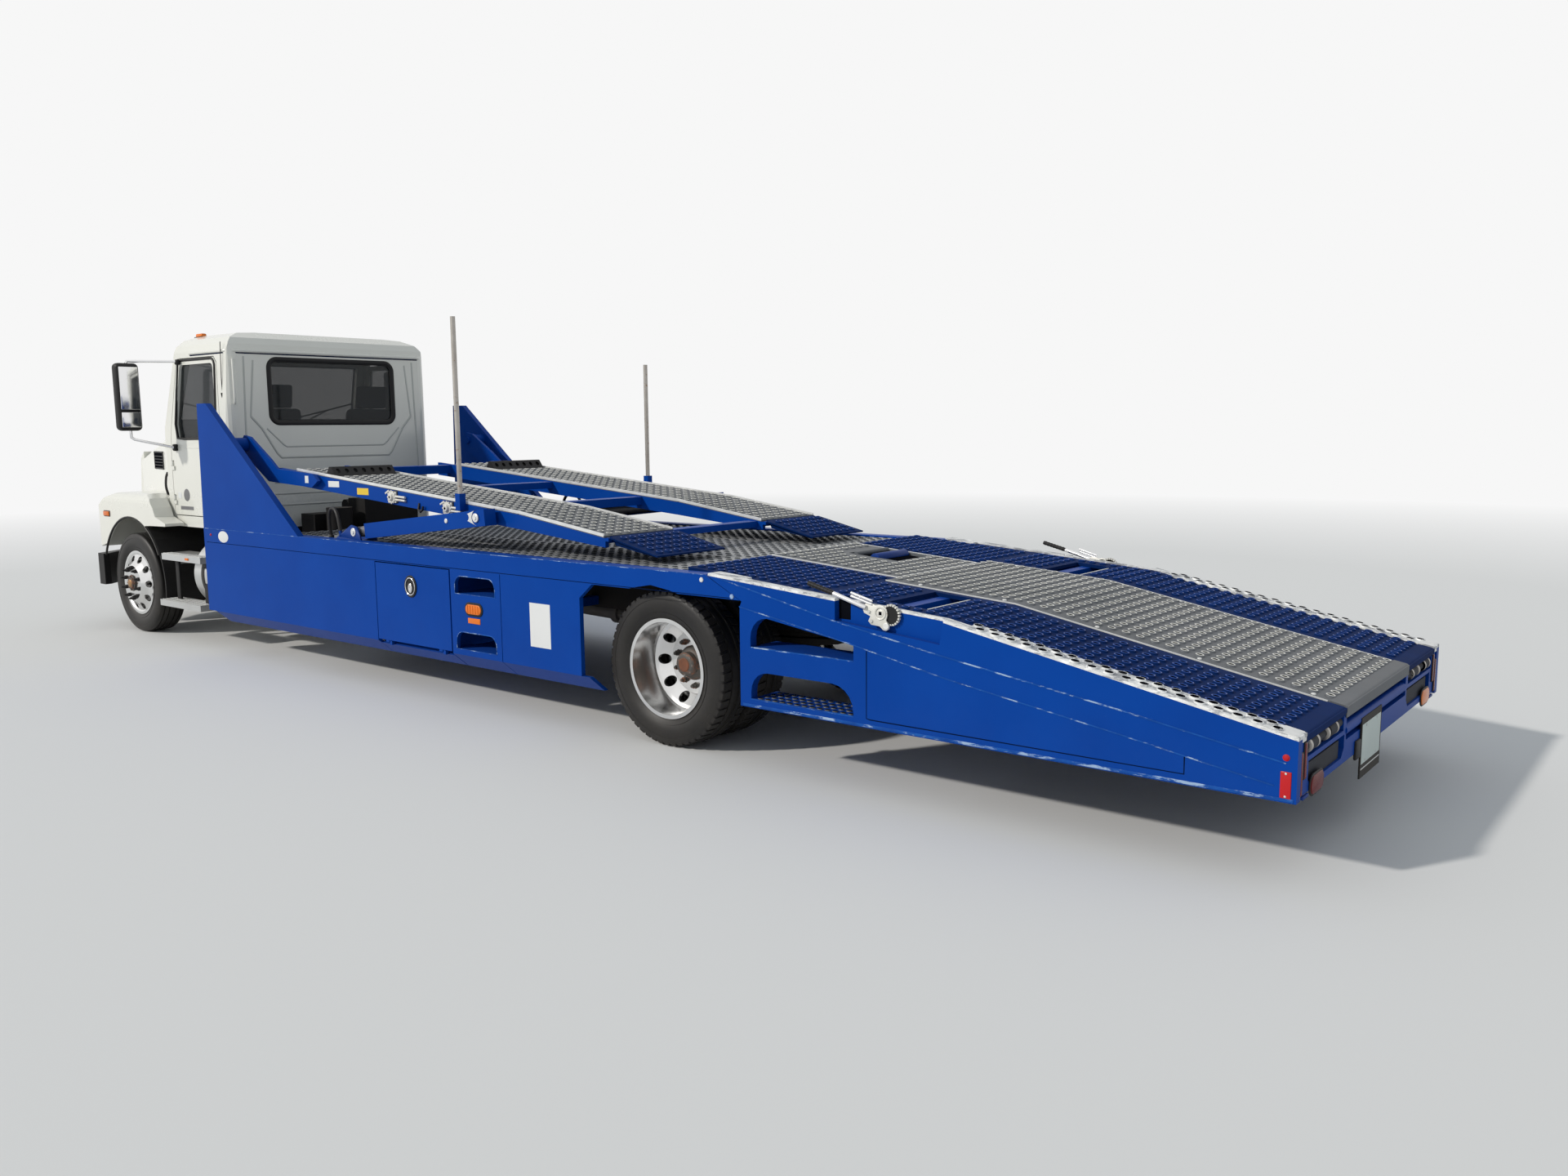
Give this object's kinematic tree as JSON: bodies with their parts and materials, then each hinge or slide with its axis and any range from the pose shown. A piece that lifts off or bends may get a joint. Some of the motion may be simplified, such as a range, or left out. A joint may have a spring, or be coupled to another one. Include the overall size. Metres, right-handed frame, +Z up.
{
  "type": "car transporter truck",
  "caption": "Bonneted flatbed truck that carries cars on a sloping tail deck and on two raised tracks that lift on struts, with hollow cab, opening doors and tilting hood.",
  "frame": {"origin": "on the ground below the middle of the truck's length and width", "axes": "+X forward along the truck, +Y to its left, +Z up"},
  "size_m": [11.515, 2.91, 2.7349],
  "materials": {
    "body_blue": "glossy paint",
    "cab_white": "glossy paint",
    "grip_blue": "satin paint",
    "chassis_black": "semi-matt paint",
    "engine_iron": "rough cast",
    "deck_steel": "galvanised",
    "deck_grey": "matt grey paint",
    "galvanised": "galvanised",
    "winch_white": "zinc plated",
    "tinted_glass": "polished",
    "seat_fabric": "woven",
    "cab_plastic": "grained",
    "black_trim": "grained",
    "tank_aluminium": "brushed",
    "lamp_red": "polished",
    "lamp_clear": "polished",
    "wheel_alloy": "machined",
    "tyre_rubber": "worn",
    "pole_steel": "galvanised",
    "strut_grey": "satin paint"
  },
  "bodies": {
    "chassis": {"ladder_frame": "chassis_black", "engine_and_shaft": "engine_iron", "front_axle": "chassis_black", "rear_axle": "chassis_black", "deck_frame": "body_blue", "lower_deck": "deck_steel", "tail_frame": "body_blue", "stowed_ramps": "galvanised", "middle_plates": "deck_grey", "wheel_strips": "grip_blue", "curbs": "galvanised", "side_rail_left": "body_blue", "side_rail_right": "body_blue", "skirt_left": "body_blue", "skirt_right": "body_blue", "rear_side_left": "body_blue", "rear_side_right": "body_blue", "lever_winches": "winch_white", "strut_brackets": "body_blue", "cab_shell": "cab_white", "cab_glass": "tinted_glass", "seats": "seat_fabric", "dashboard": "cab_plastic", "bumper": "black_trim", "tanks_and_steps": "tank_aluminium", "splash_panels": "black_trim", "tail_lamps": "lamp_red"},
    "knuckle_left": {"knuckle_left": "chassis_black"},
    "knuckle_right": {"knuckle_right": "chassis_black"},
    "track_rod": {"track_rod": "chassis_black"},
    "front_wheel_left": {"wheel_front_left": "wheel_alloy", "tyre_front_left": "tyre_rubber"},
    "front_wheel_right": {"wheel_front_right": "wheel_alloy", "tyre_front_right": "tyre_rubber"},
    "rear_wheels_left": {"wheels_rear_left": "wheel_alloy", "tyres_rear_left": "tyre_rubber"},
    "rear_wheels_right": {"wheels_rear_right": "wheel_alloy", "tyres_rear_right": "tyre_rubber"},
    "door_left": {"door_left": "cab_white", "door_glass_left": "tinted_glass", "mirror_left": "black_trim"},
    "door_right": {"door_right": "cab_white", "door_glass_right": "tinted_glass", "mirror_right": "black_trim"},
    "hood": {"hood": "cab_white", "grille": "black_trim", "headlamps": "lamp_clear"},
    "locker_door_left": {"locker_door_left": "body_blue"},
    "locker_door_right": {"locker_door_right": "body_blue"},
    "upper_deck": {"upper_frame": "body_blue", "upper_tracks": "deck_grey", "wheel_stops": "black_trim", "guide_poles": "pole_steel", "strap_winches": "winch_white"},
    "strut_barrel_left": {"strut_barrel_left": "strut_grey"},
    "strut_barrel_right": {"strut_barrel_right": "strut_grey"},
    "strut_sleeve_left": {"strut_sleeve_left": "body_blue"},
    "strut_sleeve_right": {"strut_sleeve_right": "body_blue"},
    "flap_left": {"upper_flap_left": "grip_blue"},
    "flap_right": {"upper_flap_right": "grip_blue"}
  },
  "joints": [
    {"name": "steer_left", "type": "hinge", "parent": "chassis", "child": "knuckle_left", "pos_m": [4.7275, 0.88, 0.465], "axis": [0, 0, 1], "range_deg": [-35, 35]},
    {"name": "roll_front_left", "type": "hinge", "parent": "knuckle_left", "child": "front_wheel_left", "pos_m": [4.7275, 1.0475, 0.465], "axis": [0, 1, 0], "continuous": true},
    {"name": "roll_rear_left", "type": "hinge", "parent": "chassis", "child": "rear_wheels_left", "pos_m": [-2.1725, 0.9175, 0.465], "axis": [0, 1, 0], "continuous": true},
    {"name": "open_door_left", "type": "hinge", "parent": "chassis", "child": "door_left", "pos_m": [4.2125, 1, 1.8], "axis": [0, 0, -1], "range_deg": [0, 70]},
    {"name": "open_locker_left", "type": "hinge", "parent": "chassis", "child": "locker_door_left", "pos_m": [0.165, 1.283, 0.371], "axis": [-1, 0, 0], "range_deg": [0, 90]},
    {"name": "swing_strut_left", "type": "hinge", "parent": "chassis", "child": "strut_barrel_left", "pos_m": [0.9875, 1.14, 1.118], "axis": [0, 1, 0], "range_deg": [0, 36.5]},
    {"name": "extend_strut_left", "type": "slide", "parent": "strut_barrel_left", "child": "strut_sleeve_left", "axis": [-0.994, 0, 0.1096], "range_m": [0, 0.46]},
    {"name": "fold_flap_left", "type": "hinge", "parent": "upper_deck", "child": "flap_left", "pos_m": [-1.5725, 0.7575, 1.186], "axis": [0, 1, 0], "range_deg": [0, 75]},
    {"name": "steer_right", "type": "hinge", "parent": "chassis", "child": "knuckle_right", "pos_m": [4.7275, -0.88, 0.465], "axis": [0, 0, 1], "range_deg": [-35, 35]},
    {"name": "roll_front_right", "type": "hinge", "parent": "knuckle_right", "child": "front_wheel_right", "pos_m": [4.7275, -1.0475, 0.465], "axis": [0, 1, 0], "continuous": true},
    {"name": "roll_rear_right", "type": "hinge", "parent": "chassis", "child": "rear_wheels_right", "pos_m": [-2.1725, -0.9175, 0.465], "axis": [0, 1, 0], "continuous": true},
    {"name": "open_door_right", "type": "hinge", "parent": "chassis", "child": "door_right", "pos_m": [4.2125, -1, 1.8], "axis": [0, 0, 1], "range_deg": [0, 70]},
    {"name": "open_locker_right", "type": "hinge", "parent": "chassis", "child": "locker_door_right", "pos_m": [0.165, -1.283, 0.371], "axis": [1, 0, 0], "range_deg": [0, 90]},
    {"name": "swing_strut_right", "type": "hinge", "parent": "chassis", "child": "strut_barrel_right", "pos_m": [0.9875, -1.14, 1.118], "axis": [0, 1, 0], "range_deg": [0, 36.5]},
    {"name": "extend_strut_right", "type": "slide", "parent": "strut_barrel_right", "child": "strut_sleeve_right", "axis": [-0.994, 0, 0.1096], "range_m": [0, 0.46]},
    {"name": "fold_flap_right", "type": "hinge", "parent": "upper_deck", "child": "flap_right", "pos_m": [-1.5725, -0.7575, 1.186], "axis": [0, 1, 0], "range_deg": [0, 75]},
    {"name": "turn_track_rod", "type": "hinge", "parent": "knuckle_left", "child": "track_rod", "pos_m": [4.5275, 0.88, 0.268], "axis": [0, 0, 1], "range_deg": [-35, 35]},
    {"name": "tilt_hood", "type": "hinge", "parent": "chassis", "child": "hood", "pos_m": [5.6075, 0, 0.755], "axis": [0, 1, 0], "range_deg": [0, 65]},
    {"name": "lift_upper_deck", "type": "hinge", "parent": "chassis", "child": "upper_deck", "pos_m": [2.6475, 0, 1.755], "axis": [0, 1, 0], "range_deg": [0, 20]}
  ],
  "couplings": [
    {"joint": "steer_right", "follows": "steer_left", "ratio": 1},
    {"joint": "turn_track_rod", "follows": "steer_left", "ratio": -1},
    {"joint": "swing_strut_left", "follows": "lift_upper_deck", "ratio": 1.7873},
    {"joint": "extend_strut_left", "follows": "lift_upper_deck", "m_per_rad": 1.2663},
    {"joint": "swing_strut_right", "follows": "lift_upper_deck", "ratio": 1.7873},
    {"joint": "extend_strut_right", "follows": "lift_upper_deck", "m_per_rad": 1.2663}
  ]
}
